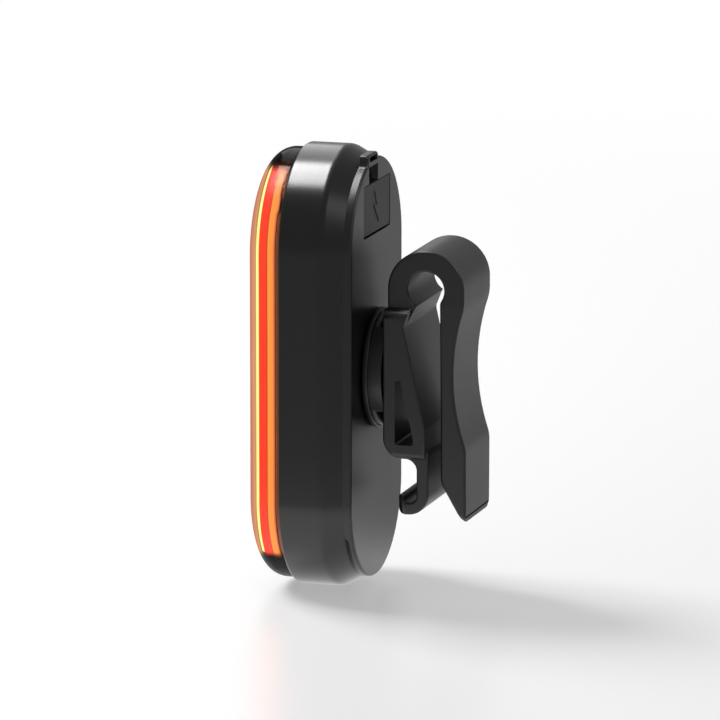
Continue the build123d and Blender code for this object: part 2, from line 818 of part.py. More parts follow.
def make_hook():
    outer_y = plate_rear_y + hook_rear_step
    inner_y = outer_y - hook_wall
    top_z = -plate_drop
    bottom_z = -plate_drop - hook_drop
    tip_front_y = outer_y - hook_reach
    tip_rear_y = tip_front_y + hook_tip_wall
    floor_z = bottom_z + hook_wall
    tip_z = floor_z + hook_tip_rise
    arch_y = inner_y - 2 * hook_inner_radius
    outer = [(arch_y, top_z), (arch_y, top_z + hook_wall), (outer_y, top_z + hook_wall),
             (outer_y, bottom_z), (tip_front_y, bottom_z), (tip_front_y, tip_z),
             (tip_rear_y, tip_z), (tip_rear_y, floor_z), (inner_y, floor_z), (inner_y, top_z)]
    tip_radius = (hook_tip_wall - fit_gap) / 2
    radii = [clip_edge_radius, clip_edge_radius, 2 * plate_heel_radius, hook_bend_radius, hook_nose_radius,
             tip_radius, tip_radius, tip_radius, hook_floor_radius, hook_inner_radius]
    hook = rounded_profile(outer, radii, hook_width)
    return hook & extrude(hook_plan(tip_front_y, outer_y), amount=2 * body_height, both=True)


def hook_plan(front_y, rear_y):
    """The hook seen from below: the corners of its tip are well rounded."""
    half = hook_width / 2
    points = [(-half, front_y), (half, front_y), (half, rear_y), (-half, rear_y)]
    radii = [hook_plan_radius, hook_plan_radius, clip_edge_radius, clip_edge_radius]
    return make_face(FilletPolyline(*points, radius=radii, close=True))


def make_clip_loop():
    ring = cross_rod(loop_radius, loop_width, loop_y, loop_z)
    ring -= cross_rod(loop_hole_radius, 2 * loop_width, loop_y, loop_z)
    upper = profile([(loop_y - 2 * loop_radius, loop_z), (loop_y + 2 * loop_radius, loop_z),
                     (loop_y + 2 * loop_radius, loop_z + 2 * loop_radius),
                     (loop_y - 2 * loop_radius, loop_z + 2 * loop_radius)], 0, 2 * loop_width)
    loop = ring & upper
    edges = [edge for edge in side_edges(loop, loop_width / 2) if edge.center().Z > loop_z + fit_gap]
    return fillet(edges, clip_edge_radius)


def make_clip_arm():
    top_turn = math.acos(1 - (arm_top_thickness - arm_waist_thickness) / (waist_radius + shoulder_radius))
    toe_turn = math.acos(1 - (arm_toe_thickness - arm_waist_thickness) / (waist_radius + heel_radius))
    top_y = arm_inner_y + arm_top_thickness
    waist_y = arm_inner_y + arm_waist_thickness
    toe_y = arm_inner_y + arm_toe_thickness
    shoulder_low = (waist_y + waist_radius * (1 - math.cos(top_turn)),
                    waist_z + waist_radius * math.sin(top_turn))
    shoulder_high_z = shoulder_low[1] + shoulder_radius * math.sin(top_turn)
    heel_high = (waist_y + waist_radius * (1 - math.cos(toe_turn)),
                 waist_z - waist_radius * math.sin(toe_turn))
    heel_low_z = heel_high[1] - heel_radius * math.sin(toe_turn)
    toe_tip_y = toe_y - toe_lip
    outer = Polyline((loop_y, loop_z), (top_y, loop_z), (top_y, shoulder_high_z))
    outer += RadiusArc((top_y, shoulder_high_z), shoulder_low, shoulder_radius)
    outer += RadiusArc(shoulder_low, heel_high, -waist_radius)
    outer += RadiusArc(heel_high, (toe_y, heel_low_z), heel_radius)
    outer += Line((toe_y, heel_low_z), (toe_y, toe_bevel_z))
    outer += FilletPolyline((toe_y, toe_bevel_z), (toe_y, arm_toe_z), (toe_tip_y, arm_toe_z),
                            (arm_inner_y, toe_bevel_z), (arm_inner_y, waist_z),
                            radius=[toe_edge_radius / 2, toe_edge_radius, toe_bevel_radius])
    outer += Polyline((arm_inner_y, waist_z), (arm_inner_y, loop_z - loop_hole_radius / 2),
                      (loop_y, loop_z))
    arm = extrude(Plane.YZ * make_face(outer), amount=loop_width / 2, both=True)
    arm -= cross_rod(loop_hole_radius, 2 * loop_width, loop_y, loop_z)
    return arm & slab(arm_outline(), 2 * loop_y, 0)


def arm_outline():
    """The arm seen from behind: widest at the loop, with rounded lower corners."""
    half_top = loop_width / 2
    half_waist = half_top - arm_waist_side_step
    half_toe = half_top - arm_toe_side_step
    right = [(half_toe, arm_toe_z), (half_waist, waist_z), (half_top, loop_z - arm_straight)]
    left = [(-x, z) for x, z in reversed(right)]
    points = right + [(half_top, loop_z), (-half_top, loop_z)] + left
    radii = [arm_corner_radius, waist_radius, waist_radius, 0, 0, waist_radius, waist_radius,
             arm_corner_radius]
    return make_face(FilletPolyline(*points, radius=radii, close=True))


parts = {
    "housing": make_housing(),
    "rear_cover": make_rear_cover(),
    "rear_seal": make_rear_seal(),
    "lens_cover": make_lens(),
    "lens_seal": make_lens_seal(),
    "light_guide": make_light_guide(),
    "cob_strip_right": make_light_strip(1),
    "cob_strip_left": make_light_strip(-1),
    "strip_leads": [make_strip_lead(-1), make_strip_lead(1)],
    "centre_panel": make_centre_panel(),
    "power_button": make_button(),
    "switch_body": make_switch_body(),
    "switch_plunger": make_switch_plunger(),
    "indicator_pipe": make_indicator_pipe(),
    "indicator_led": make_indicator_led(),
    "control_board": make_control_board(),
    "board_chips": make_board_chips(),
    "board_screws": make_board_screws(),
    "charge_socket": make_charge_socket(),
    "socket_tongue": make_socket_tongue(),
    "battery": make_battery(),
    "battery_pad": make_battery_pad(),
    "battery_leads": make_battery_leads(),
    "port_flap": make_port_flap(),
    "flap_anchor": make_flap_anchor(),
    "pivot_bush": make_pivot_bush(),
    "pivot_seal": make_pivot_seal(),
    "swivel_disc": make_swivel_disc(),
    "pivot_insert": make_pivot_insert(),
    "pivot_washer": make_pivot_washer(),
    "pivot_screw": make_pivot_screw(),
    "clip_screws": make_clip_screws(),
    "clip_base": make_clip_base(),
    "clip_loop": make_clip_loop(),
    "clip_arm": make_clip_arm(),
}

os.makedirs("parts", exist_ok=True)
for name, shape in parts.items():
    solid = Compound(children=shape) if isinstance(shape, list) else shape
    export_step(solid, f"parts/{name}.step")
    print(name, round(solid.volume, 2))
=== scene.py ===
import math
import bpy
import bmesh
from mathutils import Matrix, Vector


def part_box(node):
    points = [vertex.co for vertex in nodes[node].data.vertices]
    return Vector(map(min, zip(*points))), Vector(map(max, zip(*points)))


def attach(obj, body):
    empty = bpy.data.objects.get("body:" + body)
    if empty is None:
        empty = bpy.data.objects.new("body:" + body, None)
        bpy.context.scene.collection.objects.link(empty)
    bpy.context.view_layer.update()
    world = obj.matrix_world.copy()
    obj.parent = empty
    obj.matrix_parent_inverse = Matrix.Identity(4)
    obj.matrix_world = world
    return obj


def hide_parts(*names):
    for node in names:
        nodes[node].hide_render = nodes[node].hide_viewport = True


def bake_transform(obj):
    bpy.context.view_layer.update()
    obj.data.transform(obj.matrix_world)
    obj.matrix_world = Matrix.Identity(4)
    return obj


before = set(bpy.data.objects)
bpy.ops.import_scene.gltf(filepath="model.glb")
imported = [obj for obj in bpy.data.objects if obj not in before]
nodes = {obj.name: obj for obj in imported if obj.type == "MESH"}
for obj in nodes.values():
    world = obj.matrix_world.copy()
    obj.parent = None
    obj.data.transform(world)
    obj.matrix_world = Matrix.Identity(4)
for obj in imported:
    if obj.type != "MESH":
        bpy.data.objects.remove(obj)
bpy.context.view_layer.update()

scene = bpy.context.scene
print("frame loaded")


# Camera, floor and light
cameraValues = {
    "place": (1.1623, 0.3460, 0.2420),
    "right": (-0.28754, 0.95777, 0.0),
    "up": (-0.18660, -0.05602, 0.98085),
    "back": (0.93941, 0.28204, 0.19483),
    "lens": 369.2,
    "sensor": 36.0,
    "clip": (0.01, 20.0),
}
floorValues = {
    "size": 6.0,
    "height": -0.0375,
    "colour": (0.62, 0.62, 0.625, 1.0),
    "roughness": 0.30,
    "lift": 0.36,  # plain white that the camera sees on top of the lit floor
    "fade": (0.10, 0.55),  # distances between which the floor goes over into plain white
    "mirrored": 0.2,  # share of that white which shows in glossy surfaces
    "paintedNearReflection": 3.4,  # painted reflection: far more white right under the light, seen only in glossy surfaces, which brightens the light's lower end
    "near": (0.025, 0.085),
    "nearPlace": (0.025, -0.010, -0.0375),
}
worldValues = {
    "colour": (1.0, 1.0, 1.0, 1.0),
    "fill": 0.25,
    "mirrored": 0.2,
}
lampValues = {  # each lamp is hidden from diffuse or from glossy surfaces, and all are hidden behind the lens
    "key": {"place": (-0.20, -0.50, 0.60), "target": (0.0, 0.0, 0.0),
            "size": (0.35, 0.35), "power": 7.0, "hidden": "glossy"},
    "overhead": {"place": (-0.045, -0.18, 0.55), "target": (-0.045, -0.18, 0.0),
                 "size": (0.33, 0.07), "power": 2.7, "hidden": "diffuse"},
    "topRim": {"place": (-0.45, -0.20, 0.42), "target": (0.0, 0.0, 0.03),
               "size": (0.14, 0.50), "power": 0.55, "hidden": "diffuse"},
    "slopeGlint": {"place": (-0.07, 0.60, 0.50), "target": (0.0, 0.0, 0.0),
                   "size": (0.25, 0.25), "power": 1.5, "hidden": "diffuse"},
    "rightFill": {"place": (0.30, 0.60, 0.50), "target": (0.0, 0.0, 0.0),
                  "size": (0.4, 0.5), "power": 0.9, "hidden": "diffuse"},
}


def addCamera(values):
    camera = bpy.data.objects.new("camera", bpy.data.cameras.new("camera"))
    scene.collection.objects.link(camera)
    axes = [Vector(values[key]) for key in ("right", "up", "back")]
    turn = Matrix([[axis[row] for axis in axes] for row in range(3)])
    camera.matrix_world = Matrix.Translation(values["place"]) @ turn.to_4x4()
    camera.data.lens = values["lens"]
    camera.data.sensor_width = values["sensor"]
    camera.data.clip_start, camera.data.clip_end = values["clip"]
    scene.camera = camera


def addLamp(name, values):
    data = bpy.data.lights.new(name, "AREA")
    data.shape = "RECTANGLE"
    data.size, data.size_y = values["size"]
    data.energy = values["power"]
    lamp = bpy.data.objects.new(name, data)
    setattr(lamp, "visible_" + values["hidden"], False)
    lamp.visible_transmission = False
    scene.collection.objects.link(lamp)
    aim = Vector(values["target"]) - Vector(values["place"])
    turn = aim.to_track_quat("-Z", "Y").to_matrix().to_4x4()
    lamp.matrix_world = Matrix.Translation(values["place"]) @ turn


def addNode(tree, kind, **values):
    node = tree.nodes.new(kind)
    for name, value in values.items():
        setattr(node, name, value)
    return node


def addMath(tree, operation, first, second):
    node = addNode(tree, "ShaderNodeMath", operation=operation)
    for socket, value in zip(node.inputs, (first, second)):
        if isinstance(value, (int, float)):
            socket.default_value = value
        else:
            tree.links.new(value, socket)
    return node.outputs[0]


def whiteShare(tree, mirrored):
    path = addNode(tree, "ShaderNodeLightPath")
    seen = addMath(tree, "MAXIMUM", path.outputs["Is Camera Ray"], path.outputs["Is Transmission Ray"])
    glossy = addMath(tree, "MULTIPLY", path.outputs["Is Glossy Ray"], mirrored)
    return addMath(tree, "MAXIMUM", seen, glossy)


def addFloor(values):
    half = values["size"] / 2
    mesh = bpy.data.meshes.new("floor")
    corners = [(-half, -half), (half, -half), (half, half), (-half, half)]
    mesh.from_pydata([(x, y, values["height"]) for x, y in corners], [], [(0, 1, 2, 3)])
    floor = bpy.data.objects.new("floor", mesh)
    scene.collection.objects.link(floor)
    material = bpy.data.materials.new("paleFloor")
    material.use_nodes = True
    tree = material.node_tree
    tree.nodes.clear()
    lit = addNode(tree, "ShaderNodeBsdfPrincipled")
    lit.inputs["Base Color"].default_value = values["colour"]
    lit.inputs["Roughness"].default_value = values["roughness"]
    place = addNode(tree, "ShaderNodeTexCoord")
    reach = addNode(tree, "ShaderNodeVectorMath", operation="LENGTH")
    tree.links.new(place.outputs["Object"], reach.inputs[0])
    # Painted reflection: right under the light, glossy surfaces see a far brighter floor than the camera does
    nearReach = addNode(tree, "ShaderNodeVectorMath", operation="DISTANCE")
    tree.links.new(place.outputs["Object"], nearReach.inputs[0])
    nearReach.inputs[1].default_value = values["nearPlace"]
    near = addNode(tree, "ShaderNodeMapRange", interpolation_type="SMOOTHSTEP")
    near.inputs["From Min"].default_value, near.inputs["From Max"].default_value = values["near"]
    near.inputs["To Min"].default_value = values["paintedNearReflection"]
    near.inputs["To Max"].default_value = values["mirrored"]
    tree.links.new(nearReach.outputs["Value"], near.inputs["Value"])
    share = whiteShare(tree, values["mirrored"])
    liftShare = whiteShare(tree, near.outputs["Result"])
    lift = addNode(tree, "ShaderNodeEmission")
    tree.links.new(addMath(tree, "MULTIPLY", liftShare, values["lift"]), lift.inputs["Strength"])
    lifted = addNode(tree, "ShaderNodeAddShader")
    tree.links.new(lit.outputs[0], lifted.inputs[0])
    tree.links.new(lift.outputs[0], lifted.inputs[1])
    fade = addNode(tree, "ShaderNodeMapRange", interpolation_type="SMOOTHSTEP")
    fade.inputs["From Min"].default_value, fade.inputs["From Max"].default_value = values["fade"]
    tree.links.new(reach.outputs["Value"], fade.inputs["Value"])
    white = addNode(tree, "ShaderNodeEmission")
    mix = addNode(tree, "ShaderNodeMixShader")
    tree.links.new(addMath(tree, "MULTIPLY", fade.outputs["Result"], share), mix.inputs[0])
    tree.links.new(lifted.outputs[0], mix.inputs[1])
    tree.links.new(white.outputs[0], mix.inputs[2])
    out = addNode(tree, "ShaderNodeOutputMaterial")
    tree.links.new(mix.outputs[0], out.inputs[0])
    mesh.materials.append(material)


def addWorld(values):
    world = bpy.data.worlds.new("studio")
    scene.world = world
    world.use_nodes = True
    tree = world.node_tree
    tree.nodes.clear()
    fill = addNode(tree, "ShaderNodeBackground")
    fill.inputs["Color"].default_value = values["colour"]
    fill.inputs["Strength"].default_value = values["fill"]
    white = addNode(tree, "ShaderNodeBackground")
    white.inputs["Color"].default_value = values["colour"]
    mix = addNode(tree, "ShaderNodeMixShader")
    out = addNode(tree, "ShaderNodeOutputWorld")
    tree.links.new(whiteShare(tree, values["mirrored"]), mix.inputs[0])
    tree.links.new(fill.outputs[0], mix.inputs[1])
    tree.links.new(white.outputs[0], mix.inputs[2])
    tree.links.new(mix.outputs[0], out.inputs[0])


addCamera(cameraValues)
for lampName, values in lampValues.items():
    addLamp(lampName, values)
addFloor(floorValues)
addWorld(worldValues)
scene.view_settings.view_transform = "Standard"
print("camera, floor and lamps placed")


# The light's outline
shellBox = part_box("housing")
outlineValues = {
    "radius": shellBox[1].x,
    "endHeight": shellBox[1].z - shellBox[1].x,
    "arcSteps": 44,  # steps in a half turn
    "cornerSteps": 4,
}


# Plain materials
plasticValues = {
    "bodyPlastic": {"colour": (0.0075, 0.0075, 0.008), "roughness": 0.24, "grain": 2600.0,
                    "depth": 0.000003, "specular": 0.40, "spread": 0.04},
    "coverPlastic": {"colour": (0.0075, 0.0075, 0.008), "roughness": 0.36, "grain": 2400.0,
                     "depth": 0.000004, "specular": 0.40, "spread": 0.04},
    "clipPlastic": {"colour": (0.012, 0.012, 0.0125), "roughness": 0.38, "grain": 2200.0, "depth": 0.000004,
                    "specular": 0.42, "spread": 0.05},
    "flapRubber": {"colour": (0.010, 0.010, 0.0105), "roughness": 0.50, "grain": 3200.0, "depth": 0.000005,
                   "specular": 0.36, "spread": 0.05},
    "buttonRubber": {"colour": (0.012, 0.012, 0.012), "roughness": 0.55, "grain": 3000.0, "depth": 0.000006,
                     "specular": 0.36, "spread": 0.05},
    "sealRubber": {"colour": (0.02, 0.02, 0.02), "roughness": 0.6, "grain": 3000.0, "depth": 0.000004,
                   "specular": 0.3, "spread": 0.05},
    "panelPlastic": {"colour": (0.005, 0.0055, 0.005), "roughness": 0.22, "grain": 2400.0,
                     "depth": 0.000003, "specular": 0.4, "spread": 0.04},
    "chipPlastic": {"colour": (0.012, 0.012, 0.013), "roughness": 0.45, "grain": 4000.0, "depth": 0.000003,
                    "specular": 0.4, "spread": 0.05},
    "bushPlastic": {"colour": (0.62, 0.62, 0.58), "roughness": 0.4, "grain": 1800.0, "depth": 0.000003,
                    "specular": 0.5, "spread": 0.05},
    "leadSleeve": {"colour": (0.45, 0.012, 0.012), "roughness": 0.35, "grain": 1500.0, "depth": 0.000003,
                   "specular": 0.5, "spread": 0.05},
    "foamPad": {"colour": (0.05, 0.05, 0.05), "roughness": 0.85, "grain": 1400.0, "depth": 0.00004,
                "specular": 0.2, "spread": 0.03},
    "flexFilm": {"colour": (0.35, 0.14, 0.02), "roughness": 0.3, "grain": 800.0, "depth": 0.000002,
                 "specular": 0.5, "spread": 0.05},
    "ledDie": {"colour": (0.8, 0.7, 0.35), "roughness": 0.4, "grain": 3000.0, "depth": 0.000002,
               "specular": 0.5, "spread": 0.05},
}
metalValues = {
    "platedSteel": {"colour": (0.56, 0.56, 0.58), "roughness": 0.28, "grain": 900.0,
                    "stretch": (1.0, 1.0, 14.0)},
    "knurledBrass": {"colour": (0.72, 0.5, 0.2), "roughness": 0.3, "grain": 700.0,
                     "stretch": (1.0, 12.0, 1.0)},
    "cellFoil": {"colour": (0.6, 0.6, 0.62), "roughness": 0.38, "grain": 260.0,
                 "stretch": (1.0, 1.0, 1.0)},
    "goldContact": {"colour": (0.85, 0.62, 0.24), "roughness": 0.24, "grain": 900.0,
                    "stretch": (1.0, 1.0, 1.0)},
}
cloudValues = {
    "scale": 60.0,  # of the faint clouds in every plastic
    "detail": 2.0,
    "plasticShares": (0.88, 1.12),  # how far the clouds change a plastic's colour
    "metalShares": (0.82, 1.10),
    "metalSpread": (0.7, 1.3),  # and a metal's roughness
    "metalDepth": 0.000004,
}


def startMaterial(name):
    material = bpy.data.materials.new(name)
    material.use_nodes = True
    tree = material.node_tree
    shader = tree.nodes["Principled BSDF"]
    return material, tree, shader


def objectNoise(tree, scale, stretch=(1.0, 1.0, 1.0), detail=3.0):
    place = addNode(tree, "ShaderNodeTexCoord")
    turn = addNode(tree, "ShaderNodeMapping")
    turn.inputs["Scale"].default_value = stretch
    noise = addNode(tree, "ShaderNodeTexNoise")
    noise.inputs["Scale"].default_value = scale
    noise.inputs["Detail"].default_value = detail
    tree.links.new(place.outputs["Object"], turn.inputs["Vector"])
    tree.links.new(turn.outputs["Vector"], noise.inputs["Vector"])
    return noise.outputs["Fac"]


def mapTo(tree, source, low, high):
    node = addNode(tree, "ShaderNodeMapRange")
    node.inputs["To Min"].default_value = low
    node.inputs["To Max"].default_value = high
    tree.links.new(source, node.inputs["Value"])
    return node.outputs["Result"]


def addBump(tree, shader, source, depth):
    bump = addNode(tree, "ShaderNodeBump")
    bump.inputs["Distance"].default_value = depth
    tree.links.new(source, bump.inputs["Height"])
    tree.links.new(bump.outputs["Normal"], shader.inputs["Normal"])


def shadeByNoise(tree, source, colour, shares):
    ramp = addNode(tree, "ShaderNodeValToRGB")
    for stop, share in zip(ramp.color_ramp.elements, shares):
        stop.color = [min(1.0, channel * share) for channel in colour] + [1.0]
    tree.links.new(source, ramp.inputs["Fac"])
    return ramp.outputs["Color"]


def mouldedPlastic(name, values):
    material, tree, shader = startMaterial(name)
    broad = objectNoise(tree, cloudValues["scale"], detail=cloudValues["detail"])
    colour = shadeByNoise(tree, broad, values["colour"], cloudValues["plasticShares"])
    tree.links.new(colour, shader.inputs["Base Color"])
    low, high = values["roughness"] - values["spread"], values["roughness"] + values["spread"]
    tree.links.new(mapTo(tree, broad, low, high), shader.inputs["Roughness"])
    shader.inputs["Specular IOR Level"].default_value = values["specular"]
    addBump(tree, shader, objectNoise(tree, values["grain"]), values["depth"])
    return material


def brushedMetal(name, values):
    material, tree, shader = startMaterial(name)
    grain = objectNoise(tree, values["grain"], values["stretch"])
    colour = shadeByNoise(tree, grain, values["colour"], cloudValues["metalShares"])
    tree.links.new(colour, shader.inputs["Base Color"])
    shader.inputs["Metallic"].default_value = 1.0
    low, high = (share * values["roughness"] for share in cloudValues["metalSpread"])
    tree.links.new(mapTo(tree, grain, low, high), shader.inputs["Roughness"])
    addBump(tree, shader, grain, cloudValues["metalDepth"])
    return material


materials = {name: mouldedPlastic(name, values) for name, values in plasticValues.items()}
materials.update({name: brushedMetal(name, values) for name, values in metalValues.items()})
print("plain materials made")


# Lens, light guide and light strips: the strips are the lamps. The lens rim and the light guide glow with
# painted light, an emission. The lens carries painted shade past the strips' ends. These lit colours follow
# the depth and the height
lightValues = {
    "topLit": (0.0334, 0.0350),  # heights between which the light fades at the upper end
    "bottomLit": (-0.0298, -0.0314),
    # painted glow of the red guide by depth: dimmer towards the back, with a painted dark line at the groove
    # between bar and ring
    "guidePaintedGlowDepths": [
        (-0.0159, (0.95, 0.040, 0.010)),
        (-0.0147, (0.95, 0.040, 0.010)),
        (-0.01452, (0.45, 0.020, 0.0)),
        (-0.0143, (1.0, 0.34, 0.050)),
        (-0.0136, (1.0, 0.30, 0.040)),
        (-0.0132, (0.40, 0.12, 0.055)),
        (-0.0124, (0.24, 0.06, 0.040)),
        (-0.0100, (0.10, 0.02, 0.012)),
    ],
    # painted dim glow of the guide past the ends of the lit strips
    "guidePaintedDimGlow": (0.085, 0.016, 0.015),
    "guideBase": ((0.10, 0.004, 0.004), (0.16, 0.008, 0.006)),
    "guideStrength": 1.0,
    "guideClear": 0.15,
    "guideRoughness": (0.25, 0.35),
    "guideCloud": 140.0,
    "stripColour": (1.0, 0.80, 0.26),
    "stripDark": (0.35, 0.22, 0.05),
    "stripBase": ((0.5, 0.4, 0.1), (0.6, 0.45, 0.12)),
    "stripStrength": 1.1,
    "stripRoughness": (0.4, 0.5),
    "stripCloud": 300.0,
    "softGloss": 0.2,
    "lensTint": (0.99, 0.98, 0.98),
    "lensPaintedShadeTint": (0.13, 0.135, 0.13),  # painted shade: the lens is tinted dark past the ends of the lit strips
    # painted glow: emission colours by depth that stand in for strip light scattered in the lens rim
    "lensPaintedGlowDepths": [
        (-0.0183, (0.66, 0.27, 0.24)),
        (-0.0175, (0.70, 0.24, 0.18)),
        (-0.0170, (0.86, 0.34, 0.17)),
        (-0.0166, (0.95, 0.52, 0.21)),
        (-0.0160, (0.95, 0.60, 0.22)),
    ],
    "lensPaintedGlowRim": (0.0126, 0.0138),  # painted glow: distances from the middle line over which the lens edge starts to glow with emission, standing in for light from the strips
    "lensPaintedGlowFront": (-0.0172, -0.0160),  # depths over which the painted glow ends
    "lensPaintedGlowShare": 0.8,
    "lensIndex": 1.49,
    "lensCloud": 40.0,
    "lensRoughness": (0.015, 0.05),
    "lensGloss": (0.2, 0.2, 0.2, 1.0),
    "lensCalm": 0.8,  # share of the lens that refracts without mirroring
    "lensShadowPass": 0.92,  # share of the light that the lens lets through to what lies under it
}


def objectAxes(tree):
    place = addNode(tree, "ShaderNodeTexCoord")
    split = addNode(tree, "ShaderNodeSeparateXYZ")
    tree.links.new(place.outputs["Object"], split.inputs[0])
    return split.outputs


def smoothFade(tree, source, start, end):
    node = addNode(tree, "ShaderNodeMapRange", interpolation_type="SMOOTHSTEP")
    node.inputs["From Min"].default_value = min(start, end)
    node.inputs["From Max"].default_value = max(start, end)
    node.inputs["To Min"].default_value = 1.0 if end > start else 0.0
    node.inputs["To Max"].default_value = 0.0 if end > start else 1.0
    tree.links.new(source, node.inputs["Value"])
    return node.outputs["Result"]


def litShare(tree, height):
    return addMath(tree, "MULTIPLY", smoothFade(tree, height, *lightValues["topLit"]),
                   smoothFade(tree, height, *lightValues["bottomLit"]))


def depthRamp(tree, depth, stops):
    low, high = stops[0][0], stops[-1][0]
    scaled = addNode(tree, "ShaderNodeMapRange")
    scaled.inputs["From Min"].default_value = low
    scaled.inputs["From Max"].default_value = high
    tree.links.new(depth, scaled.inputs["Value"])
    ramp = addNode(tree, "ShaderNodeValToRGB")
    while len(ramp.color_ramp.elements) < len(stops):
        ramp.color_ramp.elements.new(0.5)
    for element, (place, colour) in zip(ramp.color_ramp.elements, stops):
        element.position = (place - low) / (high - low)
        element.color = (*colour, 1.0)
    tree.links.new(scaled.outputs["Result"], ramp.inputs["Fac"])
    return ramp.outputs["Color"]


def mixColours(tree, share, first, second):
    mix = addNode(tree, "ShaderNodeMix", data_type="RGBA")
    tree.links.new(share, mix.inputs["Factor"])
    for socket, value in ((mix.inputs[6], first), (mix.inputs[7], second)):
        if isinstance(value, tuple):
            socket.default_value = (*value, 1.0)
        else:
            tree.links.new(value, socket)
    return mix.outputs[2]


# The red guide glows with painted light: an emission coloured by depth and dimmed past the strips' ends,
# though the guide is no lamp
def makeGuideMaterial():
    material, tree, shader = startMaterial("redLightGuide")
    axes = objectAxes(tree)
    paintedGlow = depthRamp(tree, axes[1], lightValues["guidePaintedGlowDepths"])
    colour = mixColours(tree, litShare(tree, axes[2]), lightValues["guidePaintedDimGlow"], paintedGlow)
    tree.links.new(colour, shader.inputs["Emission Color"])
    shader.inputs["Emission Strength"].default_value = lightValues["guideStrength"]
    cloud = objectNoise(tree, lightValues["guideCloud"], detail=2.0)
    tree.links.new(mixColours(tree, cloud, *lightValues["guideBase"]), shader.inputs["Base Color"])
    tree.links.new(mapTo(tree, cloud, *lightValues["guideRoughness"]), shader.inputs["Roughness"])
    shader.inputs["Specular IOR Level"].default_value = lightValues["softGloss"]
    shader.inputs["Transmission Weight"].default_value = lightValues["guideClear"]
    return material


def makeStripMaterial():
    material, tree, shader = startMaterial("litStrip")
    axes = objectAxes(tree)
    lit = litShare(tree, axes[2])
    colour = mixColours(tree, lit, lightValues["stripDark"], lightValues["stripColour"])
    tree.links.new(colour, shader.inputs["Emission Color"])
    shader.inputs["Emission Strength"].default_value = lightValues["stripStrength"]
    cloud = objectNoise(tree, lightValues["stripCloud"], detail=1.0)
    tree.links.new(mixColours(tree, cloud, *lightValues["stripBase"]), shader.inputs["Base Color"])
    tree.links.new(mapTo(tree, cloud, *lightValues["stripRoughness"]), shader.inputs["Roughness"])
    shader.inputs["Specular IOR Level"].default_value = lightValues["softGloss"]
    return material


def mixShaders(tree, share, first, second):
    mix = addNode(tree, "ShaderNodeMixShader")
    if isinstance(share, float):
        mix.inputs[0].default_value = share
    else:
        tree.links.new(share, mix.inputs[0])
    tree.links.new(first.outputs[0], mix.inputs[1])
    tree.links.new(second.outputs[0], mix.inputs[2])
    return mix


# Distance from the middle line, which runs between the centres of the two round ends
def middleReach(tree, axes):
    rise = addMath(tree, "SUBTRACT", addMath(tree, "ABSOLUTE", axes[2], 0.0), outlineValues["endHeight"])
    beyond = addMath(tree, "MAXIMUM", rise, 0.0)
    squares = [addMath(tree, "MULTIPLY", value, value) for value in (axes[0], beyond)]
    return addMath(tree, "SQRT", addMath(tree, "ADD", *squares), 0.0)


def makeLensMaterial():
    material, tree, shader = startMaterial("clearLens")
    axes = objectAxes(tree)
    lit = litShare(tree, axes[2])
    # painted shade: the lens's colour darkens past the ends of the lit strips
    tint = mixColours(tree, lit, lightValues["lensPaintedShadeTint"], lightValues["lensTint"])
    cloud = objectNoise(tree, lightValues["lensCloud"], detail=2.0)
    roughness = mapTo(tree, cloud, *lightValues["lensRoughness"])
    shader.inputs["Transmission Weight"].default_value = 1.0
    shader.inputs["Specular Tint"].default_value = lightValues["lensGloss"]
    calm = addNode(tree, "ShaderNodeBsdfRefraction")
    for node, colourName in ((shader, "Base Color"), (calm, "Color")):
        node.inputs["IOR"].default_value = lightValues["lensIndex"]
        tree.links.new(tint, node.inputs[colourName])
        tree.links.new(roughness, node.inputs["Roughness"])
    # painted glow: the lens rim glows by emission, though the lens is no lamp
    paintedGlow = addNode(tree, "ShaderNodeEmission")
    tree.links.new(depthRamp(tree, axes[1], lightValues["lensPaintedGlowDepths"]), paintedGlow.inputs["Color"])
    rim = smoothFade(tree, middleReach(tree, axes), *reversed(lightValues["lensPaintedGlowRim"]))
    front = smoothFade(tree, axes[1], *lightValues["lensPaintedGlowFront"])
    glowing = addMath(tree, "MULTIPLY", addMath(tree, "MULTIPLY", rim, front), lit)
    path = addNode(tree, "ShaderNodeLightPath")
    clear = addNode(tree, "ShaderNodeBsdfTransparent")
    glowShare = addMath(tree, "MULTIPLY", glowing, lightValues["lensPaintedGlowShare"])
    clearShare = addMath(tree, "MULTIPLY", path.outputs["Is Shadow Ray"], lightValues["lensShadowPass"])
    body = mixShaders(tree, lightValues["lensCalm"], shader, calm)
    lens = mixShaders(tree, clearShare, mixShaders(tree, glowShare, body, paintedGlow), clear)
    tree.links.new(lens.outputs[0], tree.nodes["Material Output"].inputs["Surface"])
    return material


# Circuit board and light pipe
boardValues = {
    "trackScale": 420.0,
    "colours": {
        "Color1": (0.006, 0.055, 0.018, 1.0),
        "Color2": (0.006, 0.050, 0.016, 1.0),
        "Mortar": (0.012, 0.10, 0.035, 1.0),
    },
    "cloud": 500.0,
    "roughness": (0.25, 0.4),
}
pipeValues = {
    "colours": ((0.86, 0.86, 0.86), (0.92, 0.92, 0.92)),
    "cloud": 400.0,
    "roughness": (0.12, 0.3),
    "clear": 0.85,
}
stoodUp = (math.radians(90.0), 0.0, 0.0)  # turn from the ground plane to the plane of the lens


